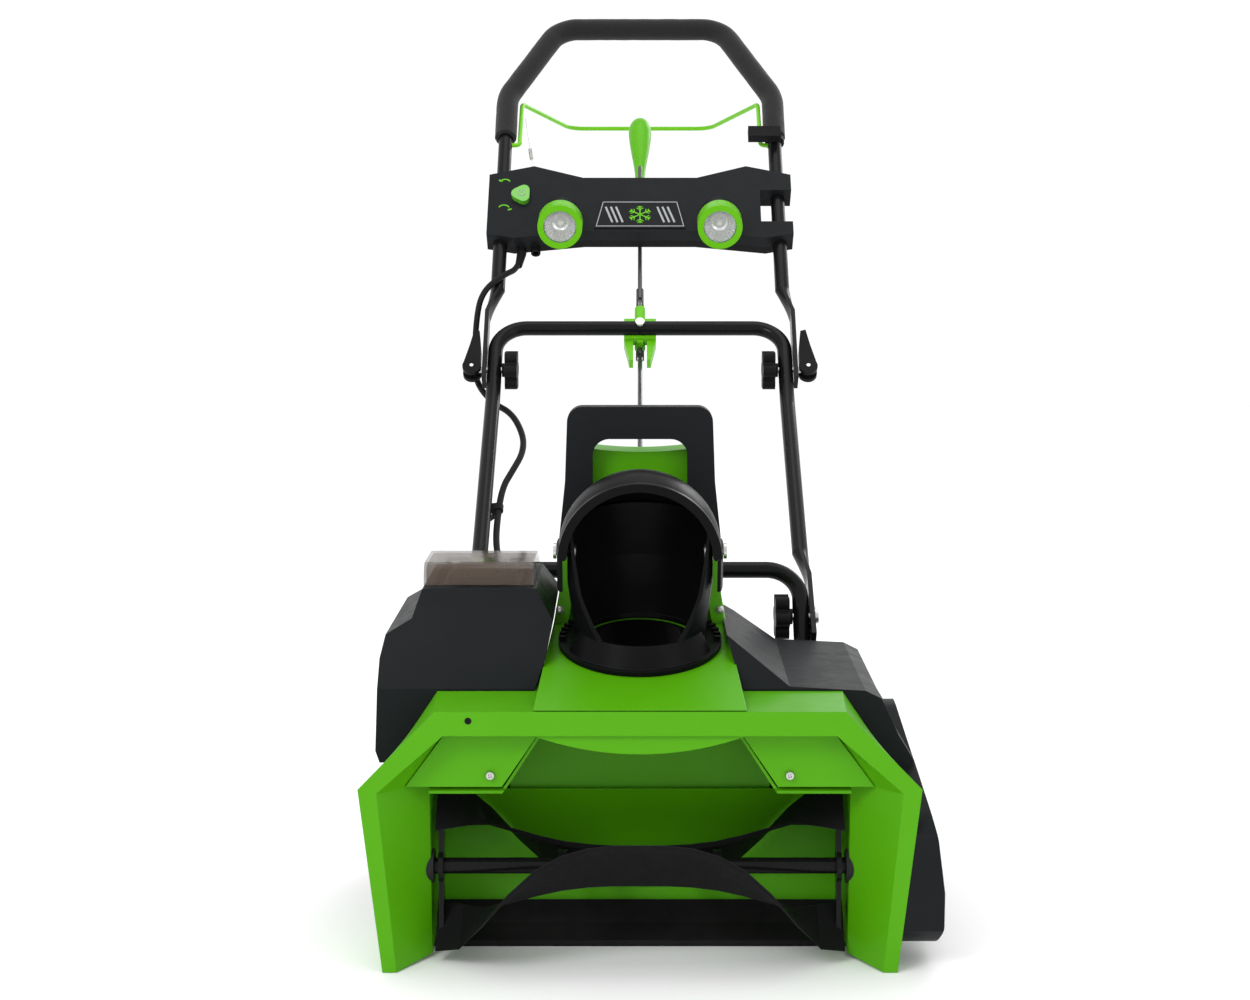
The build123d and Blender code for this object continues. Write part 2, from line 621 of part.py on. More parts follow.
def wheels():
    parts["wheel_axle"] = rod((-257, AXLE_Y, AXLE_Z), (257, AXLE_Y, AXLE_Z), 6)
    for side, name in ((-1, "left"), (1, "right")):
        middle = side * 231
        plane = Plane(origin=(middle, AXLE_Y, AXLE_Z), x_dir=(0, 1, 0), z_dir=(1, 0, 0))
        section = Polyline(
            (66, -15), (80, -19), (WHEEL_R - 2, -15), (WHEEL_R, -8), (WHEEL_R, 8), (WHEEL_R - 2, 15),
            (80, 19), (66, 15), close=True,
        )
        tyre = revolve(Plane.XZ * make_face(section), Axis.Z)
        parts[f"{name}_tyre"] = plane * tyre
        rim = Cylinder(66, 30) - Pos(0, 0, 12) * Cylinder(60, 14) - Pos(0, 0, -12) * Cylinder(60, 14)
        rim += Cylinder(16, 38)
        for i in range(5):
            rim -= Rot(0, 0, 72 * i) * Pos(38, 0, 0) * Cylinder(11, 20)
        parts[f"{name}_rim"] = plane * (rim - Cylinder(6 + FIT, 60))


# ---------------------------------------------------------------- handle frames

def lower_frame_tube(bore):
    foot = (205, 176)
    top = (330, 327)
    points = [
        (-LOWER_X, *foot), (-LOWER_X, *top), (LOWER_X, *top), (LOWER_X, *foot),
    ]
    return tube(points, [38, 38], TUBE_R, bore)


def flat_end(x_inner, start, end, round_centre, round_at):
    """Flattened tube end: a plate from start to end that swells into the round tube."""
    direction = (Vector(*end) - Vector(*start)).normalized()
    x_middle = x_inner + PLATE / 2
    flat = Rectangle(PLATE, 25)
    first = Plane(origin=(x_middle, start[1], start[2]), x_dir=(1, 0, 0), z_dir=direction)
    last = Plane(origin=(x_middle, end[1], end[2]), x_dir=(1, 0, 0), z_dir=direction)
    length = (Vector(*end) - Vector(*start)).length
    plate = extrude(first * flat, length)
    round_plane = Plane(origin=(round_centre, *round_at), x_dir=(1, 0, 0), z_dir=direction)
    swell = loft([last * flat, round_plane * Circle(TUBE_R)])
    return plate + swell


def frames():
    parts["lower_frame"] = lower_frame_tube(TUBE_BORE_R)

    lean = math.atan2(MID_BEND[1] - LOWER_JOINT[1], MID_BEND[0] - LOWER_JOINT[0])

    def leg_point(distance):
        return (LOWER_JOINT[0] + distance * math.cos(lean), LOWER_JOINT[1] + distance * math.sin(lean))

    swell_start, swell_end = leg_point(60), leg_point(105)
    points = [
        (-LEG_X, *swell_end), (-LEG_X, *MID_BEND), (-LEG_X, *CROSSBAR),
        (LEG_X, *CROSSBAR), (LEG_X, *MID_BEND), (LEG_X, *swell_end),
    ]
    mid = tube(points, [140, 40, 40, 140], TUBE_R, TUBE_BORE_R)
    plate_x = LOWER_X + TUBE_R + 0.05
    end = flat_end(plate_x, (0, *leg_point(-38)), (0, *swell_start), LEG_X, swell_end)
    mid = mid + end + mirror(end, about=Plane.YZ)
    bolt_hole = rod((-240, *LOWER_JOINT), (240, *LOWER_JOINT), BOLT_R)
    fold_hole = rod((-240, *FOLD), (240, *FOLD), BOLT_R)
    parts["mid_handle"] = mid - bolt_hole - fold_hole
    parts["lower_frame"] -= bolt_hole

    points = [
        handle_point(-UPPER_X, 135), handle_point(-UPPER_X, 500), handle_point(-118, 642),
        handle_point(118, 642), handle_point(UPPER_X, 500), handle_point(UPPER_X, 135),
    ]
    upper = tube(points, [60, 45, 45, 60], TUBE_R, TUBE_BORE_R)
    plate_x = LEG_X + TUBE_R + GAP + 0.1
    end = flat_end(plate_x, handle_point(0, -20), handle_point(0, 92), UPPER_X, handle_point(0, 135)[1:])
    upper = upper + end + mirror(end, about=Plane.YZ)
    upper -= rod((-240, *FOLD), (240, *FOLD), BOLT_R + FIT)
    for side in (-1, 1):
        upper -= rod(handle_point(side * 160, BAIL_S), handle_point(side * 190, BAIL_S), BAIL_R + FIT)
    parts["upper_handle"] = upper

    foam_points = [
        handle_point(-UPPER_X, 418), handle_point(-UPPER_X, 500), handle_point(-118, 642),
        handle_point(118, 642), handle_point(UPPER_X, 500), handle_point(UPPER_X, 418),
    ]
    parts["foam_grip"] = tube(foam_points, [60, 45, 45, 60], 15.5, TUBE_R + 0.1)


def star_knob(x, y, z):
    """Lobed knob whose axis is x, with a hub on its outer side."""
    face = Circle(19)
    for i in range(6):
        face += Rot(0, 0, 60 * i) * Pos(18.5, 0) * Circle(8)
    plane = Plane(origin=(x, y, z), x_dir=(0, 1, 0), z_dir=(1, 0, 0))
    knob = extrude(plane * face, 16) + extrude(plane.offset(16) * Circle(9), 4)
    return knob - extrude(plane.offset(4) * Circle(BOLT_R + FIT), 30)


def joint_hardware():
    for name, (y, z), outer in (("upper", FOLD, LEG_X - TUBE_R), ("lower", LOWER_JOINT, LOWER_X - TUBE_R)):
        knob = star_knob(outer - 20.5, y, z)
        parts[f"right_{name}_knob"] = knob
        parts[f"left_{name}_knob"] = mirror(knob, about=Plane.YZ)

    y, z = LOWER_JOINT
    plate_out = LOWER_X + TUBE_R + 0.05 + PLATE
    bolt = rod((157.5, y, z), (plate_out, y, z), BOLT_R)
    bolt += rod((plate_out, y, z), (plate_out + 1.6, y, z), 11)
    bolt += rod((plate_out + 1.6, y, z), (plate_out + 4.6, y, z), 8)
    lower_bolts = left_right(bolt)

    y, z = FOLD
    bolt = rod((162.5, y, z), (BOLT_END_X, y, z), BOLT_R)
    centre = Vector(CAM_X, y, z)
    pin_start = centre - HANDLE_FRONT * 11
    pin_end = centre + HANDLE_FRONT * 11
    bolt += rod(tuple(pin_start), tuple(pin_end), 2.5)
    parts["handle_bolts"] = group(lower_bolts, left_right(bolt))

    cam_plane = Plane(origin=(CAM_X, y, z), x_dir=(1, 0, 0), z_dir=HANDLE_FRONT)
    lever_face = Circle(12)
    lever_outline = [(-11, 6), (-10.5, 34), (-8, 58), (-1, 60), (4, 34), (11, 4)]
    lever_face += make_face(Polyline(*lever_outline, close=True))
    lever = extrude(cam_plane.offset(-10) * lever_face, 20)
    slot = extrude(cam_plane.offset(-4.6) * Pos(0, -25) * Rectangle(40, 60), 9.2)
    slot += extrude(cam_plane.offset(-4.6) * Circle(9), 9.2)
    lever = lever - slot
    lever -= extrude(cam_plane.offset(-20) * Circle(2.5 + FIT), 40)
    lever = largest(lever)
    parts["right_cam_lever"] = lever
    parts["left_cam_lever"] = mirror(lever, about=Plane.YZ)


# ---------------------------------------------------------------- crank

def crank():
    axis = RodAxis()
    lower = rod(axis.at(-1), axis.at(axis.length - 6), ROD_R)
    lower += rod(axis.at(axis.length - 7), axis.at(axis.length), 1.5)
    joint = Vector(*axis.at(axis.length))
    lower += rod(tuple(joint - axis.across * 5), tuple(joint + axis.across * 5), 2.5)
    parts["lower_rod"] = lower

    pinion_plane = Plane(origin=axis.at(-1), x_dir=(1, 0, 0), z_dir=axis.direction)
    pinion = extrude(pinion_plane * Circle(15), 6)
    tooth_height = 8.0
    for i in range(PINION_TEETH):
        pinion += extrude(
            pinion_plane * Rot(0, 0, 360 * i / PINION_TEETH) * Pos(0, -17) * Rectangle(3.2, tooth_height), 6
        )
    pinion += extrude(pinion_plane.offset(6) * Circle(8), 6)
    parts["chute_pinion"] = pinion - parts["lower_rod"]

    s0 = axis.joint_s
    stub = rod(handle_point(0, s0 + 5, ROD_BACK), handle_point(0, STUB_TOP, ROD_BACK), ROD_R)
    fork = rod(handle_point(0, s0 - 2, ROD_BACK), handle_point(0, s0 + 11, ROD_BACK), 5.5)
    fork -= handle_box(-3.2, 3.2, s0 - 4, s0 + 5.5, ROD_BACK - 10, ROD_BACK + 10)
    stub += fork
    stub += handle_box(-1.5, 1.5, STUB_TOP - 1, TONGUE_TOP, ROD_BACK - 2.5, ROD_BACK + 2.5)
    parts["rod_stub"] = stub

    upper_points = [
        handle_point(0, STUB_TOP + 14, ROD_BACK), handle_point(0, CRANK_S, ROD_BACK),
        handle_point(0, CRANK_S, ROD_BACK + CRANK_ARM), handle_point(0, CRANK_S + 115, ROD_BACK + CRANK_ARM),
    ]
    upper = tube(upper_points, [8, 8], ROD_R)
    collar = rod(handle_point(0, STUB_TOP + 1, ROD_BACK), handle_point(0, STUB_TOP + 29, ROD_BACK), 5.2)
    collar -= handle_box(-1.9, 1.9, STUB_TOP - 4, TONGUE_TOP + 2.5, ROD_BACK - 10, ROD_BACK + 10)
    parts["upper_rod"] = upper + collar

    base = CRANK_S + 14
    back = ROD_BACK + CRANK_ARM
    profile = make_face(
        [
            Line((0, base), (7, base)),
            Spline((7, base), (10.5, base + 40), (16, base + 85), (12, base + 113), (0, base + 121),
                   tangents=[(0, 1), (-1, 0)]),
            Line((0, base + 121), (0, base)),
        ]
    )
    grip_plane = Plane(origin=handle_point(0, 0, back), x_dir=(1, 0, 0), z_dir=HANDLE_FRONT)
    grip = grip_plane * revolve(profile, Axis.Y)
    bore = rod(handle_point(0, base - 5, back), handle_point(0, CRANK_S + 116, back), ROD_R + FIT)
    parts["crank_grip"] = grip - bore

    bar = rod((-60, *CROSSBAR), (60, *CROSSBAR), TUBE_R)
    cross = Vector(0, *CROSSBAR) - Vector(*handle_point(0, 0))
    cross_s = cross.dot(HANDLE_DIR)
    block = handle_box(-21, 21, cross_s - 13, cross_s + 20, 6, ROD_BACK - 3)
    sleeve = rod(handle_point(0, s0 + 16, ROD_BACK), handle_point(0, SLEEVE_TOP, ROD_BACK), 7)
    web = handle_box(-4, 4, s0 + 16, SLEEVE_TOP - 6, 10, ROD_BACK)
    bracket = block + sleeve + web
    for side in (-1, 1):
        ear = [(9, s0 - 12), (14, s0 - 12), (21, cross_s - 12), (9, cross_s - 12)]
        ear = [(side * x, s) for x, s in ear]
        bracket += panel_prism(ear, 12, ROD_BACK + 5)
    bracket -= bar
    bracket -= rod(handle_point(0, s0 - 20, ROD_BACK), handle_point(0, 200, ROD_BACK), ROD_R + FIT)
    parts["rod_bracket"] = bracket


# ---------------------------------------------------------------- light bar

def light_bar():
    outline = [
        (-78, 325), (-146, 347), (-207, 331), (-207, 222), (-170, 214), (-75, 226),
        (75, 226), (170, 214), (207, 222), (207, 331), (146, 347), (78, 325),
    ]
    front = panel_prism(outline, -18, 0)
    back = panel_prism(outline, 0, 14)
    hollow = [(-150, 234), (150, 234), (150, 318), (-150, 318)]
    front -= panel_prism(hollow, -15, 1)
    back -= panel_prism(hollow, -1, 11)
    window = handle_box(164, 220, 244, 302, -30, 30)
    legs = rod(handle_point(-UPPER_X, 150), handle_point(-UPPER_X, 400), TUBE_R)
    legs += rod(handle_point(UPPER_X, 150), handle_point(UPPER_X, 400), TUBE_R)
    front = front - window - legs
    back = back - window - legs

    bezels = []
    reflectors = []
    lenses = []
    down = math.radians(LAMP_DOWN)
    forward = Vector(0, -math.cos(down), -math.sin(down))
    for side in (-1, 1):
        face = Vector(side * LAMP_X, 771, 714)

        def along(distance):
            point = face - forward * distance
            return (point.X, point.Y, point.Z)

        pod = rod(along(6), along(64), 25)
        front += pod - panel_prism(outline, -14, 90) - handle_box(-300, 300, 0, 600, -8, 200)
        front -= rod(along(5), along(52), 22)
        bezels.append(rod(along(0), along(28), 30, 25) - rod(along(4), along(5), 30, 29))
        bezels[-1] += rod(along(0), along(3), 30, 22)
        cup = rod(along(5), along(30), 21.8)
        mirror_cone = loft([
            Plane(origin=along(5), z_dir=forward) * Circle(20.6),
            Plane(origin=along(26), z_dir=forward) * Circle(5),
        ])
        reflectors.append(cup - mirror_cone)
        lenses.append(rod(along(3), along(5), 21.8))
    plate = [(-62, 230), (62, 230), (52, 280), (-52, 280)]
    front += panel_prism(plate, -20, -18)
    button = button_outline(0)
    front -= panel_prism(button_outline(0.4), -40, 40)
    back -= panel_prism(button_outline(0.4), -40, 8)
    support = handle_box(-10, 10, 262, 292, 13, ROD_BACK + 8)
    support -= rod(handle_point(0, 200, ROD_BACK), handle_point(0, 330, ROD_BACK), ROD_R + FIT)
    back += support
    for x in (-160, -141):
        back += rod(handle_point(x, 208, 7), handle_point(x, 222, 7), 6.5)
        back -= rod(handle_point(x, 206, 7), handle_point(x, 216, 7), CABLE_R)
    parts["light_bar_front"] = front
    parts["light_bar_back"] = back
    parts["lamp_bezels"] = group(*[bezel - front for bezel in bezels])
    parts["lamp_reflectors"] = group(*reflectors)
    parts["lamp_lenses"] = group(*lenses)
    parts["start_button"] = panel_prism(button, -25, 3)


def button_outline(growth):
    """Rounded triangle of the start button, pointing outwards."""
    points = []
    for i in range(24):
        turn = 2 * math.pi * i / 24
        radius = 12.5 + 1.6 * math.cos(3 * (turn - math.pi)) + growth
        points.append((-161.5 + radius * math.cos(turn), 290 + 1.15 * radius * math.sin(turn)))
    return points


# ---------------------------------------------------------------- bail

def bail():
    leg_x = 169.0
    shoulder = (BAIL_S + 94, 12)
    centre = (BAIL_S + 171, 136)
    points = [
        handle_point(-184, BAIL_S), handle_point(-leg_x, BAIL_S), handle_point(-leg_x, *shoulder),
        handle_point(-104, *centre), handle_point(104, *centre),
        handle_point(leg_x, *shoulder), handle_point(leg_x, BAIL_S), handle_point(184, BAIL_S),
    ]
    parts["bail"] = tube(points, [6, 14, 30, 30, 14, 6], BAIL_R)

    ring = rod(handle_point(UPPER_X, 409), handle_point(UPPER_X, 417.5), 13.5, TUBE_R)
    arm = handle_box(151, 196, 398, 417, -26, -13)
    parts["bail_stop"] = ring + arm

    start = handle_point(-163, BAIL_S + 62, 8)
    end = handle_point(-147, 348, 4)
    parts["bail_wire"] = rod(start, end, 0.7)


# ---------------------------------------------------------------- power cable

def route_radii(points):
    """Arc radii from the shorter run beside each corner."""
    radii = []
    for before, at, after in zip(points, points[1:], points[2:]):
        one, two = Vector(*at) - Vector(*before), Vector(*after) - Vector(*at)
        turn = math.radians(one.get_angle(two))
        radii.append(0.45 * min(one.length, two.length) / math.tan(turn / 2))
    return radii


def halfway(first, second):
    """Meeting point of two lengths of cable, in line with the run on either side."""
    return tuple((a + b) / 2 for a, b in zip(first, second))


def cable():
    gland = handle_point(-160, 207.8, 7)
    upper = [
        gland, handle_point(-163, 178, 4), handle_point(-182, 150, -15), handle_point(-208, 122, -14),
        handle_point(-216, 92, 4),
    ]
    loop = [
        handle_point(-217, 28, 27), handle_point(-211, -4, 27), handle_point(-190, -34, 26),
        (-163, 614, 480), (-147, 582, 455), (-146, 548, 437), (-157, 514, 419), (-169, 486, 400),
    ]
    lower = [
        (-172, 428, 360), (-170, 398, 341), (-163, 366, 324), (-146, 334, 313),
        (-128, 300, 304), (-118, 268, 292), (-116, 236, 283),
    ]
    upper_end = halfway(upper[-1], loop[0])
    loop_end = halfway(loop[-1], lower[0])
    upper = upper + [upper_end]
    loop = [upper_end] + loop + [loop_end]
    lower = [loop_end] + lower
    for name, points in (("upper", upper), ("loop", loop), ("lower", lower)):
        radii = route_radii(points)
        solid = tube(points, radii, CABLE_R)
        length = FilletPolyline(*points, radius=radii).length
        share = solid.volume / (math.pi * CABLE_R ** 2 * length)
        print(f"power_cable_{name}: length {length:.0f} mm, volume share {share:.4f}, "
              f"radii {[round(radius, 1) for radius in radii]}")
        parts[f"power_cable_{name}"] = solid
    clip = cable_clip_solid(loop[-1])
    parts["cable_clip"] = clip - parts["power_cable_loop"] - parts["power_cable_lower"]


def cable_clip_solid(point):
    """Strap that holds the cable against the inside of the left mid leg."""
    y, z = point[1], point[2]
    lean = math.atan2(MID_BEND[1] - LOWER_JOINT[1], MID_BEND[0] - LOWER_JOINT[0])
    direction = Vector(0, math.cos(lean), math.sin(lean))
    plane = Plane(origin=(0, y, z), x_dir=(1, 0, 0), z_dir=direction)
    leg_z = LOWER_JOINT[1] + (y - LOWER_JOINT[0]) * math.tan(lean)
    rise = (leg_z - z) * math.cos(lean)
    leg_loop = Pos(-LEG_X, rise) * Circle(TUBE_R + 1.5)
    cable_loop = Pos(point[0], 0) * Circle(CABLE_R + 1.5)
    face = make_hull([*leg_loop.edges(), *cable_loop.edges()])
    band = extrude(plane.offset(-5) * face, 10)
    leg = extrude(plane.offset(-30) * Pos(-LEG_X, rise) * Circle(TUBE_R), 60)
    return band - leg


# ---------------------------------------------------------------- fasteners

def screws():
    pieces = []
    for side in (-1, 1):
        pieces.append(rod((side * 146, -66.5, 193), (side * 146, -64, 193), 4.5))
        pieces.append(rod((side * 84.5, 115.4, 322), (side * 84.5, 118, 322), 4.0))
    bolt = rod(handle_point(0, 72, -13), handle_point(0, 72, -9.5), 6)
    pieces.append(bolt - rod((-60, *CROSSBAR), (60, *CROSSBAR), TUBE_R))
    parts["housing_screws"] = group(*pieces)


auger_housing()
auger()
drive()
covers()
tower()
chute()
carry_handle()
wheels()
frames()
joint_hardware()
crank()
light_bar()
bail()
cable()
screws()

os.makedirs("parts", exist_ok=True)
for name, shape in parts.items():
    export_step(shape, f"parts/{name}.step")
print(len(parts), "nodes")
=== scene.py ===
import json
import math

import bmesh
import bpy
from mathutils import Matrix, Vector, noise


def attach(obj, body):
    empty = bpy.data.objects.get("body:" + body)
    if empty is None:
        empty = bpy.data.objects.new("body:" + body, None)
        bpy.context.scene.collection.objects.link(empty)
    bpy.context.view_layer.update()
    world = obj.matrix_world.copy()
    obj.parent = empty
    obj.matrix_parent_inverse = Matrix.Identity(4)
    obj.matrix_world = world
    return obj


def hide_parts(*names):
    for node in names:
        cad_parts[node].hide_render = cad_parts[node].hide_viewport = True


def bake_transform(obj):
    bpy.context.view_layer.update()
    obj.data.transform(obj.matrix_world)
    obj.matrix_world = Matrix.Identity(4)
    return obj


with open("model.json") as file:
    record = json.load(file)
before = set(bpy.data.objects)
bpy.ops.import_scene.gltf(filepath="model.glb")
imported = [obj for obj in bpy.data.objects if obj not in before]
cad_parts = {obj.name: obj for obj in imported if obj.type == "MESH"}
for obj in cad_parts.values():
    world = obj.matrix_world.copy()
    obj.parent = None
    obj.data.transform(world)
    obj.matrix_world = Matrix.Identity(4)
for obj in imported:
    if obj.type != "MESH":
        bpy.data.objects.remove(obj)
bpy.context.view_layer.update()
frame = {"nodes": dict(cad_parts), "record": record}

MM = 0.001
NODES = frame["nodes"]

# ---------------------------------------------------------------- driving dimensions, millimetres

FOLD = (655.0, 532.0)           # (y, z) of the fold axis
HANDLE_ANGLE = math.radians(46.6)
LAMP_X, LAMP_Y, LAMP_Z = 107.0, 771.0, 714.0
LAMP_DOWN = math.radians(15)
AXLE_Y, AXLE_Z, WHEEL_MIDDLE = 225.0, 89.0, 231.0
WHEEL_R = 89.0
TREAD_BLOCKS = 34               # in each of the three rows round a tyre
HUB_FACE = 250.4                # outer end of the axle
CHUTE_TILT = math.radians(12.5)
CHUTE_FOOT = Vector((0, 70.0, 296.4))   # middle of the round opening under the chute
THROAT_FOOT = (84.0, 50.0, 232.0)       # half width, half depth and height of the throat's lower end
CABLE_R = 4.0

HANDLE_DIR = Vector((0, math.cos(HANDLE_ANGLE), math.sin(HANDLE_ANGLE)))
HANDLE_FRONT = Vector((0, -HANDLE_DIR.z, HANDLE_DIR.y))


def handle_point(x, s, back=0.0):
    """Point of the upper frame, in millimetres: s along it from the fold axis, back behind its plane."""
    return Vector((x, *FOLD)) + HANDLE_DIR * s - HANDLE_FRONT * back


# ---------------------------------------------------------------- camera, light and floor, metres

CAMERA_PLACE = (0, -2.0515, 0.743)
CAMERA_PITCH = math.radians(82)
CAMERA_LENS = 60.4
CAMERA_SHIFT = -0.012
FLOOR_HALF = 6.0
FLOOR_GAP = 0.0005              # floor below the wheels
LIGHTS = (                      # name, place, target, disk size, watts
    ("key", (-1.5, -1.9, 2.2), (0, 0.1, 0.3), 1.1, 30),
    ("fill", (2.0, -1.8, 1.3), (0, 0.2, 0.3), 1.6, 7),
    ("top", (0.2, 0.6, 2.6), (0, 0.4, 0.4), 1.6, 10),
    ("rim", (1.2, 2.4, 1.6), (0, 0.6, 0.5), 1.2, 14),
)


def make_camera():
    """Camera in front of the machine, looking a little down, as the photograph was taken."""
    data = bpy.data.cameras.new("camera")
    data.sensor_width = 36
    data.lens = CAMERA_LENS
    data.shift_x = CAMERA_SHIFT
    data.clip_start = 0.1
    camera = bpy.data.objects.new("camera", data)
    camera.location = CAMERA_PLACE
    camera.rotation_euler = (CAMERA_PITCH, 0, 0)
    bpy.context.scene.collection.objects.link(camera)
    bpy.context.scene.camera = camera


def area_light(name, place, target, size, power):
    """Round soft light that faces its target."""
    data = bpy.data.lights.new(name, "AREA")
    data.shape = "DISK"
    data.size = size
    data.energy = power
    light = bpy.data.objects.new(name, data)
    light.location = place
    light.rotation_euler = (Vector(target) - Vector(place)).to_track_quat("-Z", "Y").to_euler()
    bpy.context.scene.collection.objects.link(light)


def make_studio():
    """White surroundings, four soft lights and a sheet of paper as the floor."""
    for light in LIGHTS:
        area_light(*light)
    world = bpy.data.worlds.new("studio")
    world.use_nodes = True
    world.node_tree.nodes["Background"].inputs["Color"].default_value = (1, 1, 1, 1)
    world.node_tree.nodes["Background"].inputs["Strength"].default_value = 1.04
    bpy.context.scene.world = world
    bpy.context.scene.view_settings.view_transform = "Standard"
    mesh = bpy.data.meshes.new("floor")
    corners = [(x * FLOOR_HALF, y * FLOOR_HALF, -FLOOR_GAP) for x, y in ((-1, -1), (1, -1), (1, 1), (-1, 1))]
    mesh.from_pydata(corners, [], [(0, 1, 2, 3)])
    floor = bpy.data.objects.new("floor", mesh)
    bpy.context.scene.collection.objects.link(floor)
    mesh.materials.append(surface("floor_paper", (0.96, 0.96, 0.96), 0.8, spread=0.01, mottle=2))


# ---------------------------------------------------------------- materials

CLEAR_IOR = 1.46                # of clear plastic


def new_node(tree, kind, **values):
    """Shader node with its inputs, or else its own settings, set by name."""
    node = tree.nodes.new(kind)
    for key, value in values.items():
        if key in node.inputs:
            node.inputs[key].default_value = value
        else:
            setattr(node, key, value)
    return node


def noise_at(tree, place, scale, detail, roughness):
    """Cloudy value from 0 to 1 at each point."""
    cloud = new_node(tree, "ShaderNodeTexNoise", Scale=scale, Detail=detail, Roughness=roughness)
    tree.links.new(place, cloud.inputs["Vector"])
    return cloud.outputs["Fac"]


def mapped(tree, value, source, target):
    """Value moved from the source range to the target range."""
    node = new_node(tree, "ShaderNodeMapRange")
    node.inputs["From Min"].default_value, node.inputs["From Max"].default_value = source
    node.inputs["To Min"].default_value, node.inputs["To Max"].default_value = target
    tree.links.new(value, node.inputs["Value"])
    return node.outputs["Result"]


def mixed(tree, factor, first, second):
    """Mix of two colours, each a constant or the output of another node."""
    node = new_node(tree, "ShaderNodeMix", data_type="RGBA")
    for socket, colour in ((node.inputs[6], first), (node.inputs[7], second)):
        if isinstance(colour, bpy.types.NodeSocket):
            tree.links.new(colour, socket)
        else:
            socket.default_value = (*colour, 1)
    tree.links.new(factor, node.inputs[0])
    return node.outputs[2]


def relief_bump(tree, place, pattern, grain, stretch, depth):
    """Fine relief as bump: cells of moulded texture, ribs, or plain grain."""
    mapping = new_node(tree, "ShaderNodeMapping")
    mapping.inputs["Scale"].default_value = stretch
    tree.links.new(place, mapping.inputs["Vector"])
    if pattern == "cells":
        relief = new_node(tree, "ShaderNodeTexVoronoi", Scale=grain, feature="F1")
        height = relief.outputs["Distance"]
    elif pattern == "ribs":
        relief = new_node(tree, "ShaderNodeTexWave", Scale=grain, Distortion=0.0)
        height = relief.outputs["Fac"]
    else:
        relief = new_node(tree, "ShaderNodeTexNoise", Scale=grain, Detail=3.0, Roughness=0.6)
        height = relief.outputs["Fac"]
    tree.links.new(mapping.outputs["Vector"], relief.inputs["Vector"])
    bump = new_node(tree, "ShaderNodeBump", Strength=0.6, Distance=depth * MM)
    tree.links.new(height, bump.inputs["Height"])
    return bump


def rubbed(tree, bevel, colour, base, amount):
    """Colour made paler where the bevel bends the surface, as on handled edges."""
    flat = new_node(tree, "ShaderNodeNewGeometry")
    dot = new_node(tree, "ShaderNodeVectorMath", operation="DOT_PRODUCT")
    tree.links.new(bevel.outputs["Normal"], dot.inputs[0])
    tree.links.new(flat.outputs["Normal"], dot.inputs[1])
    rub = mapped(tree, dot.outputs["Value"], (0.99, 0.80), (0.0, amount))
    return mixed(tree, rub, colour, [min(c * 1.7 + 0.05, 1) for c in base])


def surface(name, base, roughness, spread=0.1, mottle=18, grain=900, depth=0.03, pattern="grain", edge=0.0,
            round_edges=0.0, stretch=(1, 1, 1), metallic=0.0, coat=0.0, specular=0.5, sheen=0.0):
    """Procedural material: mottled colour, uneven gloss, fine relief, and soft or rubbed edges."""
    material = bpy.data.materials.new(name)
    material.use_nodes = True
    tree = material.node_tree
    shader = tree.nodes["Principled BSDF"]
    shader.inputs["Metallic"].default_value = metallic
    shader.inputs["Coat Weight"].default_value = coat
    shader.inputs["Coat Roughness"].default_value = 0.12
    shader.inputs["Specular IOR Level"].default_value = specular
    shader.inputs["Sheen Weight"].default_value = sheen
    place = new_node(tree, "ShaderNodeTexCoord").outputs["Object"]

    darker = [c * (1 - spread) for c in base]
    lighter = [min(c * (1 + spread) + 0.002, 1) for c in base]
    colour = mixed(tree, noise_at(tree, place, mottle, 5.0, 0.62), darker, lighter)

    smear = noise_at(tree, place, mottle * 4.3, 6.0, 0.7)
    gloss_range = (max(roughness - 0.07, 0.02), min(roughness + 0.07, 1.0))
    tree.links.new(mapped(tree, smear, (0.3, 0.7), gloss_range), shader.inputs["Roughness"])

    bump = relief_bump(tree, place, pattern, grain, stretch, depth)
    tree.links.new(bump.outputs["Normal"], shader.inputs["Normal"])
    if round_edges:
        bevel = new_node(tree, "ShaderNodeBevel", samples=4)
        bevel.inputs["Radius"].default_value = round_edges * MM
        tree.links.new(bevel.outputs["Normal"], bump.inputs["Normal"])
        if edge:
            colour = rubbed(tree, bevel, colour, base, edge)
    tree.links.new(colour, shader.inputs["Base Color"])
    return material


def clear_surface(name, base, roughness, alpha, grain=300, depth=0.02, pattern="grain"):
    """See-through plastic or glass with faint ripples."""
    material = surface(name, base, roughness, spread=0.06, grain=grain, depth=depth, pattern=pattern)
    shader = material.node_tree.nodes["Principled BSDF"]
    shader.inputs["Alpha"].default_value = alpha
    shader.inputs["IOR"].default_value = CLEAR_IOR
    return material


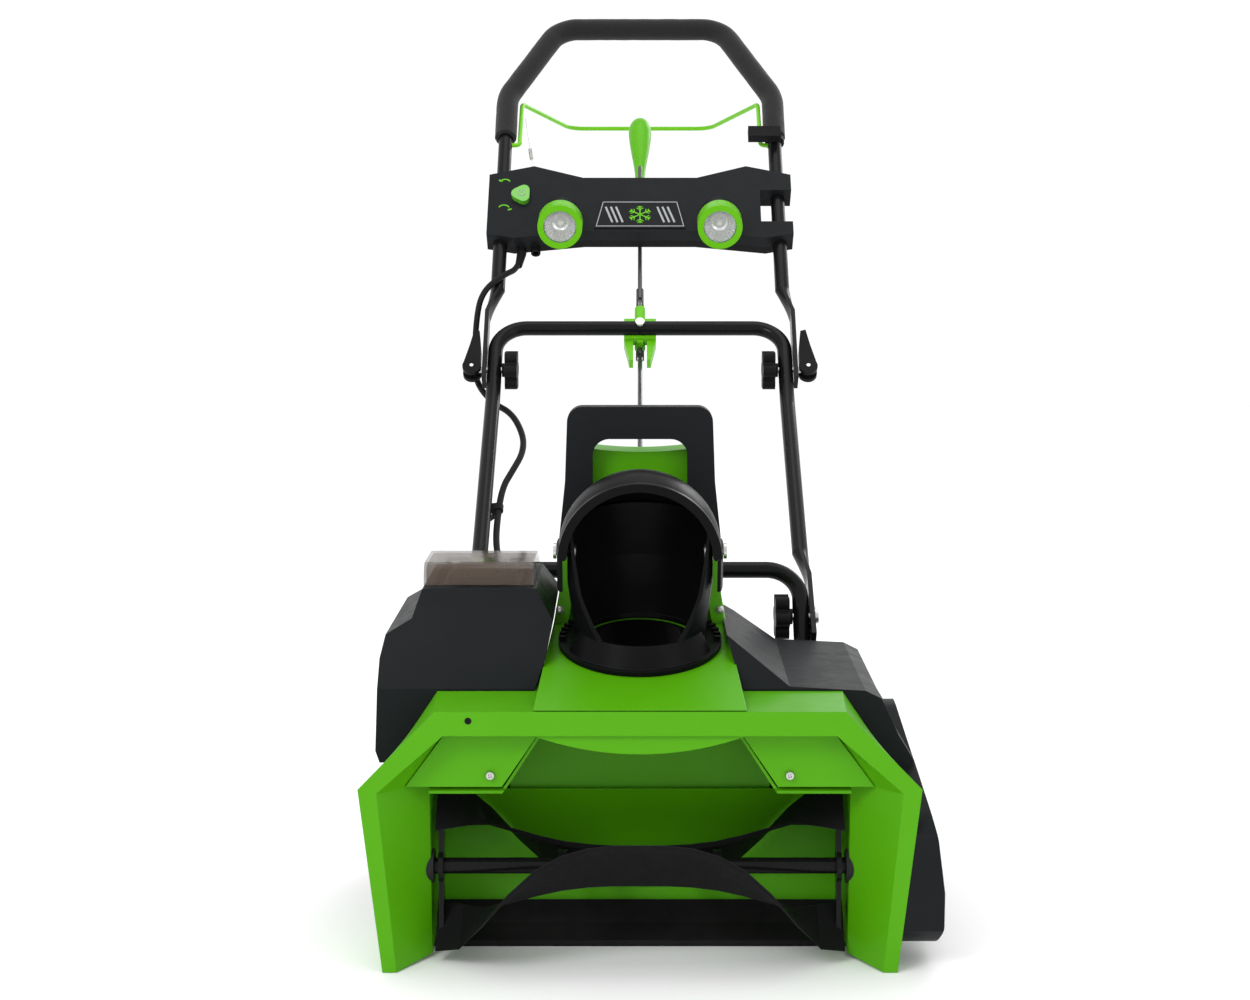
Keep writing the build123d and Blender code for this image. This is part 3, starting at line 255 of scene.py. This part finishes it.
def make_materials():
    """One material for each slot of the record, and one each for the marks and the lamps' light source."""
    green = (0.074, 0.325, 0.0015)
    black = (0.007, 0.007, 0.0075)
    dull = 0.06      # specular level of the black plastics
    satin = 0.14     # specular level of the green plastics
    solid = {
        "green_body": dict(
            base=green, roughness=0.36, spread=0.05, mottle=9, grain=1500, depth=0.012, edge=0.25,
            round_edges=1.2, specular=satin),
        "trim_green": dict(
            base=(0.12, 0.45, 0.006), roughness=0.3, spread=0.05, grain=1500, depth=0.01, edge=0.3,
            round_edges=0.6, coat=0.05, specular=satin),
        "lever_green": dict(
            base=(0.15, 0.5, 0.01), roughness=0.3, spread=0.07, grain=700, depth=0.03, coat=0.1,
            specular=satin),
        "grip_green": dict(
            base=(0.1, 0.4, 0.006), roughness=0.32, spread=0.07, grain=1400, depth=0.012, coat=0.05,
            specular=satin),
        "button_green": dict(
            base=(0.1, 0.4, 0.02), roughness=0.3, spread=0.06, grain=1500, depth=0.01, edge=0.5,
            round_edges=1.5, coat=0.3),
        "charcoal_shell": dict(
            base=(0.0095, 0.0108, 0.0122), roughness=0.42, spread=0.12, mottle=12, grain=1300, depth=0.05,
            pattern="cells", edge=0.35, round_edges=1.0, specular=dull),
        "chute_black": dict(
            base=(0.003, 0.003, 0.0035), roughness=0.34, spread=0.2, mottle=14, grain=1400, depth=0.02,
            edge=0.25, round_edges=1.2, specular=dull),
        "scraper_plastic": dict(
            base=(0.01, 0.01, 0.01), roughness=0.5, spread=0.35, mottle=45, grain=500, depth=0.08,
            edge=0.4, round_edges=1.0, specular=dull),
        "black_cover": dict(
            base=black, roughness=0.5, spread=0.15, grain=1200, depth=0.05, pattern="cells", edge=0.3,
            round_edges=0.8, specular=dull),
        "steel_black": dict(
            base=(0.005, 0.005, 0.0055), roughness=0.25, spread=0.2, mottle=25, grain=420, depth=0.06,
            coat=0.12, specular=dull),
        "rod_steel": dict(
            base=(0.03, 0.03, 0.032), roughness=0.3, spread=0.2, mottle=60, grain=500, depth=0.03,
            coat=0.2),
        "cam_plastic": dict(
            base=black, roughness=0.38, spread=0.15, grain=1300, depth=0.04, pattern="cells", edge=0.4,
            round_edges=0.8, specular=dull),
        "knob_plastic": dict(
            base=black, roughness=0.48, spread=0.15, grain=1200, depth=0.05, pattern="cells", edge=0.4,
            round_edges=1.0, specular=dull),
        "foam": dict(
            base=(0.009, 0.009, 0.0095), roughness=0.9, spread=0.3, mottle=160, grain=1300, depth=0.25,
            pattern="cells", sheen=0.15, specular=0.25),
        "paddle_rubber": dict(
            base=(0.006, 0.006, 0.0065), roughness=0.62, spread=0.25, mottle=40, grain=650, depth=0.12,
            pattern="cells", edge=0.4, round_edges=0.8, specular=dull),
        "tread_rubber": dict(
            base=(0.014, 0.014, 0.014), roughness=0.62, spread=0.25, mottle=35, grain=800, depth=0.08,
            specular=dull),
        "rim_plastic": dict(
            base=(0.02, 0.02, 0.022), roughness=0.45, spread=0.12, grain=1300, depth=0.05,
            pattern="cells", edge=0.3, round_edges=1.0, specular=dull),
        "zinc_steel": dict(
            base=(0.55, 0.55, 0.53), roughness=0.32, spread=0.12, mottle=90, grain=350, depth=0.04,
            metallic=1.0, stretch=(1, 1, 6)),
        "bearing_plastic": dict(
            base=(0.02, 0.02, 0.021), roughness=0.42, spread=0.1, grain=1000, depth=0.03, specular=dull),
        "motor_metal": dict(
            base=(0.4, 0.4, 0.41), roughness=0.4, spread=0.1, grain=260, depth=0.1, metallic=1.0),
        "belt": dict(
            base=(0.012, 0.012, 0.012), roughness=0.7, spread=0.2, grain=160, depth=0.4, pattern="ribs",
            specular=dull),
        "pack_plastic": dict(
            base=(0.05, 0.045, 0.04), roughness=0.45, spread=0.12, grain=1200, depth=0.05,
            pattern="cells", edge=0.4, round_edges=1.0),
        "reflector": dict(
            base=(0.72, 0.73, 0.75), roughness=0.12, spread=0.05, grain=180, depth=0.05, metallic=1.0),
        "cable_rubber": dict(
            base=(0.012, 0.012, 0.0125), roughness=0.5, spread=0.2, mottle=80, grain=900, depth=0.03,
            specular=dull),
        "badge_ink": dict(
            base=(0.3, 0.31, 0.32), roughness=0.35, spread=0.08, grain=900, depth=0.02),
        "led": dict(
            base=(0.62, 0.6, 0.5), roughness=0.3, spread=0.06, grain=800, depth=0.05),
    }
    see_through = {
        "smoke_lid": dict(
            base=(0.1, 0.07, 0.05), roughness=0.1, alpha=0.5),
        "lens": dict(
            base=(0.95, 0.97, 1.0), roughness=0.09, alpha=0.14, grain=45, depth=0.4, pattern="ribs"),
    }
    made = {slot: surface(slot, **look) for slot, look in solid.items()}
    made.update({slot: clear_surface(slot, **look) for slot, look in see_through.items()})
    return made


def paint_nodes(materials):
    """Each carried-over node takes the material of its slot."""
    for part in frame["record"]["subparts"]:
        node = NODES[part["node"]]
        node.data.materials.clear()
        node.data.materials.append(materials[part["material_slot"]])


# ---------------------------------------------------------------- mesh helpers, all in millimetres

def add_piece(name, verts, faces, slot, body, smooth=True, replaced=()):
    """Piece from a list of points and faces."""
    mesh = bpy.data.meshes.new(name)
    mesh.from_pydata([Vector(v) * MM for v in verts], [], faces)
    mesh.validate()
    return add_mesh(name, mesh, slot, body, smooth, replaced)


def add_mesh(name, mesh, slot, body, smooth=True, replaced=()):
    """Piece from a mesh in metres: it rides on the body and stands in for the replaced nodes."""
    build = bmesh.new()
    build.from_mesh(mesh)
    bmesh.ops.recalc_face_normals(build, faces=build.faces)
    build.to_mesh(mesh)
    build.free()
    mesh.polygons.foreach_set("use_smooth", [smooth] * len(mesh.polygons))
    piece = bpy.data.objects.new(name, mesh)
    bpy.context.scene.collection.objects.link(piece)
    mesh.materials.clear()
    mesh.materials.append(materials[slot])
    if smooth:
        mesh.set_sharp_from_angle(angle=math.radians(35))
    if body:
        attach(piece, body)
    if replaced:
        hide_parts(*replaced)
    return piece


def spin(angle, axis="Z"):
    """Turn about one of the local axes."""
    return Matrix.Rotation(angle, 4, axis)


def shift(x, y, z):
    """Move along the local axes."""
    return Matrix.Translation((x, y, z))


def axis_frame(origin, direction, across=(1, 0, 0)):
    """Matrix that puts local z along a direction, at a point in millimetres."""
    z = Vector(direction).normalized()
    x = Vector(across)
    x = (x - z * x.dot(z)).normalized()
    y = z.cross(x)
    matrix = Matrix((x, y, z)).transposed().to_4x4()
    matrix.translation = Vector(origin)
    return matrix


def lathe(profile, matrix, segments=48):
    """Closed solid of revolution about local z from (radius, height) points; the ends may touch the axis."""
    verts, faces, rings = [], [], []
    for radius, height in profile:
        if radius < 1e-6:
            rings.append([len(verts)])
            verts.append(matrix @ Vector((0, 0, height)))
            continue
        rings.append(list(range(len(verts), len(verts) + segments)))
        for i in range(segments):
            turn = 2 * math.pi * i / segments
            verts.append(matrix @ Vector((radius * math.cos(turn), radius * math.sin(turn), height)))
    pairs = list(zip(rings, rings[1:]))
    if len(rings[0]) > 1 and len(rings[-1]) > 1:
        pairs.append((rings[-1], rings[0]))
    for low, high in pairs:
        for i in range(segments):
            j = (i + 1) % segments
            if len(low) == 1:
                faces.append((low[0], high[j], high[i]))
            elif len(high) == 1:
                faces.append((low[i], low[j], high[0]))
            else:
                faces.append((low[i], low[j], high[j], high[i]))
    return verts, faces


def block(matrix, size, taper=0.0):
    """Box centred on local x and y that stands on local z = 0, drawn in at the top by the taper."""
    a, b, h = size[0] / 2, size[1] / 2, size[2]
    corners = [(-a, -b, 0), (a, -b, 0), (a, b, 0), (-a, b, 0)]
    c, d = a - taper, b - taper
    corners += [(-c, -d, h), (c, -d, h), (c, d, h), (-c, d, h)]
    faces = [(3, 2, 1, 0), (4, 5, 6, 7), (0, 1, 5, 4), (1, 2, 6, 5), (2, 3, 7, 6), (3, 0, 4, 7)]
    return [matrix @ Vector(corner) for corner in corners], faces


def merge(parts):
    """Several (vertices, faces) lists as one."""
    verts, faces = [], []
    for more_verts, more_faces in parts:
        start = len(verts)
        verts += more_verts
        faces += [tuple(i + start for i in face) for face in more_faces]
    return verts, faces


def wire(points, radius, order=3):
    """Smooth tube along given control points, as a mesh in metres."""
    curve = bpy.data.curves.new("wire", "CURVE")
    curve.dimensions = "3D"
    curve.resolution_u = 12
    spline = curve.splines.new("NURBS")
    spline.points.add(len(points) - 1)
    for target, point in zip(spline.points, points):
        target.co = (*(Vector(point) * MM), 1)
    spline.order_u = order
    spline.use_endpoint_u = True
    holder = bpy.data.objects.new("wire", curve)
    line = bpy.data.meshes.new_from_object(holder)
    path = [vertex.co.copy() for vertex in line.vertices]
    curve.bevel_depth = radius * MM
    curve.bevel_resolution = 5
    curve.use_fill_caps = True
    mesh = bpy.data.meshes.new_from_object(holder)
    bpy.data.objects.remove(holder)
    return mesh, path


def bevelled(name, parts, width):
    """Mesh of several closed shapes with small rounded edges."""
    verts, faces = merge(parts)
    build = bmesh.new()
    made = [build.verts.new(Vector(v) * MM) for v in verts]
    for face in faces:
        build.faces.new([made[i] for i in face])
    bmesh.ops.recalc_face_normals(build, faces=build.faces)
    sharp = [e for e in build.edges if len(e.link_faces) == 2 and e.calc_face_angle(0) > math.radians(30)]
    bmesh.ops.bevel(build, geom=sharp, offset=width * MM, segments=2, profile=0.6, affect="EDGES")
    mesh = bpy.data.meshes.new(name)
    build.to_mesh(mesh)
    build.free()
    return mesh


def add_bevelled(name, parts, width, slot, body):
    """Piece from several closed shapes, with small rounded edges and flat faces."""
    add_mesh(name, bevelled(name, parts, width), slot, body, smooth=False)


# ---------------------------------------------------------------- pieces

def foam_grip():
    """Foam sleeve with an uneven skin, made from the grip's own solid."""
    source = bpy.data.objects.new("foam_source", NODES["foam_grip"].data.copy())
    bpy.context.scene.collection.objects.link(source)
    remesh = source.modifiers.new("remesh", "REMESH")
    remesh.mode = "VOXEL"
    remesh.voxel_size = 0.0024
    shown = source.evaluated_get(bpy.context.evaluated_depsgraph_get())
    mesh = bpy.data.meshes.new_from_object(shown)
    bpy.data.objects.remove(source)
    mesh.name = "foam_sleeve"
    normals = [vertex.normal.copy() for vertex in mesh.vertices]
    for vertex, normal in zip(mesh.vertices, normals):
        coarse = noise.noise(vertex.co * 55)
        fine = noise.noise(vertex.co * 330)
        vertex.co += normal * (0.28 * coarse + 0.16 * fine - 0.1) * MM
    add_mesh("foam_sleeve", mesh, "foam", "upper_handle", replaced=("foam_grip",))


def tyre(side, node, body):
    """Hard tyre: rounded walls with a rib, and staggered tread blocks."""
    matrix = axis_frame((side * WHEEL_MIDDLE, AXLE_Y, AXLE_Z), (side, 0, 0), (0, 1, 0))
    crown = WHEEL_R - 2.6
    wall = [
        (66.3, -14.5), (70, -17.2), (75, -18.6), (78, -18.9), (79, -18.2), (81, -18.2), (84, -16.6),
        (crown, -13.5), (crown + 0.3, 0),
    ]
    profile = wall + [(radius, -x) for radius, x in reversed(wall[:-1])]
    parts = [lathe(profile, matrix, 96)]
    for i in range(TREAD_BLOCKS):
        for x, stagger, lean in ((-8.8, 0.0, 14), (0.0, 0.5, 0), (8.8, 0.0, -14)):
            spoke = matrix @ spin(2 * math.pi * (i + stagger) / TREAD_BLOCKS) @ shift(crown - 0.6, 0, x)
            stand = spoke @ spin(math.radians(90), "Y") @ spin(math.radians(lean))
            parts.append(block(stand, (7.0, 10.4, 2.7), 0.8))
    verts, faces = merge(parts)
    add_piece(f"{node}_tread", verts, faces, "tread_rubber", body, replaced=(node,))


def hub_caps():
    """Domed caps on the axle's ends."""
    for side, body in ((-1, "left_wheel"), (1, "right_wheel")):
        matrix = axis_frame((side * HUB_FACE, AXLE_Y, AXLE_Z), (side, 0, 0), (0, 1, 0))
        dome = [(0, 0), (15.5, 0), (16, 0.6), (15.6, 1.6), (12, 2.1), (8.4, 2.3)]
        dome += [(8.1, 4.8), (7.0, 6.3), (4.2, 7.2), (0, 7.5)]
        verts, faces = lathe(dome, matrix)
        add_piece(f"{body}_cap", verts, faces, "zinc_steel", "chassis")


def cross_screw(matrix, radius):
    """Pan head with a cross recess, standing on local z = 0."""
    height = radius * 0.5
    head = [
        (0, -0.6), (radius, -0.6), (radius, height * 0.35), (radius * 0.86, height * 0.75),
        (radius * 0.5, height), (radius * 0.46, height), (radius * 0.3, height * 0.35), (0, height * 0.3),
    ]
    parts = [lathe(head, matrix, 28)]
    for turn in (0.3, 0.3 + math.pi / 2):
        for way in (-1, 1):
            at = matrix @ spin(turn) @ shift(way * radius * 0.3, 0, height * 0.3) @ spin(math.pi / 4)
            parts.append(block(at, (radius * 0.24, radius * 0.24, height * 0.66)))
    return parts


def screws():
    """Screws of the hood, saddle, light bar and rear cover, and the eyelet in the hood's rim."""
    parts = []
    front = (0, -1, 0)
    for side in (-1, 1):
        parts += cross_screw(axis_frame((side * 146, -66.6, 193), front), 4.5)
        parts += cross_screw(axis_frame((side * 84.5, 115.4, 322), front), 3.8)
    verts, faces = merge(parts)
    add_piece("hood_screws", verts, faces, "zinc_steel", "chassis")
    eyelet = [(0, -0.4), (3.4, -0.4), (3.4, 0.2), (3.1, 0.4), (2.5, 0.4), (2.3, 0.1), (0, 0.1)]
    verts, faces = lathe(eyelet, axis_frame((-165.4, -85, 252), front), 28)
    add_piece("hood_drain", verts, faces, "black_cover", "chassis")
    parts = []
    for half_x, s in ((152, 322), (152, 232), (92, 312), (60, 236)):
        for side in (-1, 1):
            parts += cross_screw(axis_frame(handle_point(side * half_x, s, 13.9), -HANDLE_FRONT), 3.4)
    verts, faces = merge(parts)
    add_piece("light_bar_screws", verts, faces, "zinc_steel", "upper_handle")
    parts = []
    for side in (-1, 1):
        for y, z in ((110, 60), (200, 60), (110, 225), (200, 225)):
            parts += cross_screw(axis_frame((side * 206.4, y, z), (side, 0, 0), (0, 1, 0)), 3.6)
    verts, faces = merge(parts)
    add_piece("rear_cover_screws", verts, faces, "zinc_steel", "chassis")


def lamp_matrix(side):
    """Local z points out of the lamp, and local 0 is the front of its rim."""
    forward = (0, -math.cos(LAMP_DOWN), -math.sin(LAMP_DOWN))
    return axis_frame((side * LAMP_X, LAMP_Y, LAMP_Z), forward)


def lamps():
    """Faceted reflectors, their bulbs, domed lenses and rim notches."""
    bowls, bulbs, lenses, notches = [], [], [], []
    for side in (-1, 1):
        matrix = lamp_matrix(side)
        inside = [(5 + 15.6 * math.sqrt(i / 7), -26 + 21 * i / 7) for i in range(8)]
        outside = [(radius + 1.0, depth - 0.6) for radius, depth in reversed(inside)]
        bowls.append(lathe(inside + [(21.8, -5)] + outside, matrix, 28))
        bulb = [(0, -29), (4.6, -29), (4.6, -24), (4.3, -21), (3.2, -18.6), (1.6, -17.4), (0, -17)]
        bulbs.append(lathe(bulb, matrix, 24))
        lens = [(0, -4.8), (21.6, -4.8), (21.8, -3.4), (19, -2.6), (14, -1.7), (8, -1.1), (0, -0.8)]
        lenses.append(lathe(lens, matrix, 48))
        for i in range(6):
            at = matrix @ spin(2 * math.pi * (i + 0.5) / 6) @ shift(29.2, 0, -24)
            notches.append(block(at, (2.4, 7, 18), 0.5))
    for name, parts, slot, smooth, old in (
        ("reflector_bowls", bowls, "reflector", False, ("lamp_reflectors",)),
        ("lamp_bulbs", bulbs, "led", True, ()),
        ("lens_domes", lenses, "lens", True, ("lamp_lenses",)),
        ("bezel_ribs", notches, "trim_green", False, ()),
    ):
        verts, faces = merge(parts)
        add_piece(name, verts, faces, slot, "upper_handle", smooth=smooth, replaced=old)


def badge():
    """Frame, snowflake and stripes laid on the plain plate between the lamps."""
    plane = axis_frame(handle_point(0, 254, -20), HANDLE_FRONT)
    frame_bars = []
    corners = [(-59, -21), (59, -21), (50, 23), (-50, 23)]
    for (x0, y0), (x1, y1) in zip(corners, corners[1:] + corners[:1]):
        middle = shift((x0 + x1) / 2, (y0 + y1) / 2, 0)
        lean = spin(math.atan2(y1 - y0, x1 - x0))
        frame_bars.append(block(plane @ middle @ lean, (math.hypot(x1 - x0, y1 - y0) + 1.4, 1.4, 0.8), 0.2))
    add_bevelled("badge_frame", frame_bars, 0.15, "badge_ink", "upper_handle")
    arms = []
    for i in range(6):
        arm = plane @ spin(math.pi * i / 3)
        arms.append(block(arm @ shift(0, 8, 0), (1.8, 15, 0.9), 0.2))
        for reach, size in ((8.5, 6.0), (12.5, 4.0)):
            for way in (-1, 1):
                twig = arm @ shift(0, reach, 0) @ spin(way * math.radians(52))
                arms.append(block(twig @ shift(0, size / 2, 0), (1.5, size, 0.85), 0.2))
    add_bevelled("badge_snowflake", arms, 0.12, "trim_green", "upper_handle")
    lines = []
    for x in (-42, -35, -28, 28, 35, 42):
        lean = plane @ shift(x, 0, 0) @ spin(math.radians(18))
        lines.append(block(lean, (3.0, 30, 0.8), 0.2))
    add_bevelled("badge_stripes", lines, 0.12, "badge_ink", "upper_handle")


def bar_icons():
    """Turn arrows beside the start button, and the on mark on it."""
    plane = axis_frame(handle_point(-185, 290, -18), HANDLE_FRONT)
    marks = []
    for s, way in ((-24, 1), (24, -1)):
        for i in range(7):
            turn = math.radians(35 + 18 * i) * way + (0 if way > 0 else math.pi)
            spot = plane @ shift(0, s, 0) @ spin(turn)
            marks.append(block(spot @ shift(7.5, 0, 0), (2.0, 2.6, 0.6), 0.1))
        tip = plane @ shift(0, s, 0) @ spin(way * math.radians(20))
        marks.append(block(tip @ shift(7.5 * way, -3 * way, 0), (6.0, 3.0, 0.6), 0.9))
    verts, faces = merge(marks)
    add_piece("bar_icons", verts, faces, "trim_green", "upper_handle", smooth=False)
    plane = axis_frame(handle_point(-161.5, 290, -25), HANDLE_FRONT)
    ring = []
    for i in range(16):
        turn = plane @ spin(math.radians(120 + 20 * i))
        ring.append(block(turn @ shift(5.2, 0, 0), (1.2, 1.9, 0.5), 0.1))
    ring.append(block(plane @ shift(0, 4.0, 0), (1.3, 6, 0.5), 0.1))
    verts, faces = merge(ring)
    add_piece("button_mark", verts, faces, "badge_ink", "start_button", smooth=False)


def cable_boot(name, origin, direction, length, body):
    """Tapered and grooved strain relief round the cable."""
    matrix = axis_frame(origin, direction)
    profile = [(CABLE_R + 0.15, -2), (6.4, -2), (6.4, 3)]
    rings = 5
    for i in range(rings):
        along = 4 + (length - 6) * i / rings
        outer = 6.2 - 1.4 * i / rings
        step = (length - 6) / rings
        profile += [(outer, along), (outer - 0.1, along + step * 0.55), (outer - 1.0, along + step * 0.62),
                    (outer - 1.1, along + step * 0.9)]
    profile += [(4.75, length - 1), (4.3, length), (CABLE_R + 0.15, length)]
    verts, faces = lathe(profile, matrix, 32)
    return add_piece(name, verts, faces, "cable_rubber", body)


def power_cable():
    """Cable from the light bar to the battery housing, bending round the fold."""
    gland = handle_point(-160, 207.8, 7)
    route = [
        gland, handle_point(-163, 178, 4), handle_point(-182, 150, -15), handle_point(-208, 122, -14),
        handle_point(-216, 92, 4), handle_point(-217, 28, 27), handle_point(-211, -4, 27),
        handle_point(-190, -34, 26), (-163, 614, 480), (-147, 582, 455), (-146, 548, 437), (-157, 514, 419),
        (-169, 486, 400), (-172, 428, 360), (-170, 398, 341), (-163, 366, 324), (-146, 334, 313),
        (-128, 300, 304), (-118, 268, 292), (-116, 236, 283),
    ]
    mesh, path = wire(route, CABLE_R)
    cable = add_mesh("power_cable", mesh, "cable_rubber", None)
    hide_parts("power_cable_upper", "power_cable_loop", "power_cable_lower")
    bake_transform(cable)
    upper_way = path[2] - path[0]
    lower_way = path[-3] - path[-1]
    boots = [
        cable_boot("cable_boot_upper", gland, upper_way, 26, "upper_handle"),
        cable_boot("cable_boot_lower", Vector(route[-1]), lower_way, 30, "chassis"),
    ]


def bail_wire():
    """Thin wire with a small return spring, from the bail's eye to the light bar."""
    top, bottom = handle_point(-163, 467, 8), handle_point(-147, 348, 4)
    way = (bottom - top).normalized()
    matrix = axis_frame(top, way)
    length = (bottom - top).length
    spring_start, spring_end, turns = length * 0.52, length * 0.72, 11
    points = [(0, 0, 0), (0, 0, spring_start * 0.5), (0, 0, spring_start)]
    for i in range(turns * 8 + 1):
        turn = 2 * math.pi * i / 8
        along = spring_start + 2 + (spring_end - spring_start - 4) * i / (turns * 8)
        points.append((2.4 * math.cos(turn), 2.4 * math.sin(turn), along))
    points += [(0, 0, spring_end), (0, 0, length)]
    mesh, _ = wire([matrix @ Vector(p) for p in points], 0.55)
    piece = add_mesh("bail_spring_wire", mesh, "zinc_steel", None)
    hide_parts("bail_wire")
    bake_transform(piece)


def throat_black_sheet():
    """Black sheet inside the tower, from under the chute's ring halfway down the throat, which makes the
    throat dark.
    """
    lean = Matrix.Rotation(CHUTE_TILT, 3, "X")
    half_x, half_y, foot_z = THROAT_FOOT
    count = 48
    rings = []
    for radius, depth, share, scale in ((60.8, -0.4, 0, 1), (58.2, -3, 0, 1), (58.2, -5, 0.6, 0.93),
                                        (56.6, -5, 0.6, 0.9), (56.6, -0.4, 0, 1)):
        ring = []
        for i in range(count):
            turn = 2 * math.pi * i / count
            reach = scale / max(abs(math.cos(turn)), abs(math.sin(turn)))
            head = CHUTE_FOOT + lean @ Vector((radius * math.cos(turn), radius * math.sin(turn), depth))
            foot = Vector((half_x * math.cos(turn) * reach, 2 + half_y * math.sin(turn) * reach, foot_z))
            ring.append(head.lerp(foot, share))
        rings.append(ring)
    faces = []
    for k in range(len(rings)):
        low, high = k * count, (k + 1) % len(rings) * count
        faces += [(low + i, low + (i + 1) % count, high + (i + 1) % count, high + i) for i in range(count)]
    add_piece("throat_black_sheet", sum(rings, []), faces, "chute_black", "chassis")


def pack_detail():
    """Ribs and latch on the battery pack, seen through the lid."""
    parts = []
    for i in range(7):
        y = 104 + 9.5 * i
        parts.append(block(shift(-193.5, y, 360.2), (9, 3.4, 1.6), 0.4))
        parts.append(block(shift(-137.5, y, 360.2), (9, 3.4, 1.6), 0.4))
    add_bevelled("pack_ribs", parts, 0.2, "pack_plastic", "chassis")
    latch = [block(shift(-165.5, 133, 370.9), (26, 20, 2.4), 1.2)]
    for i in range(4):
        latch.append(block(shift(-165.5, 127 + 4 * i, 373.1), (18, 1.4, 1.0), 0.3))
    add_bevelled("pack_latch", latch, 0.3, "trim_green", "chassis")


# ---------------------------------------------------------------- the scene

materials = make_materials()
make_camera()
make_studio()
paint_nodes(materials)
power_cable()
foam_grip()
tyre(-1, "left_tyre", "left_wheel")
tyre(1, "right_tyre", "right_wheel")
hub_caps()
screws()
lamps()
badge()
bar_icons()
bail_wire()
throat_black_sheet()
pack_detail()
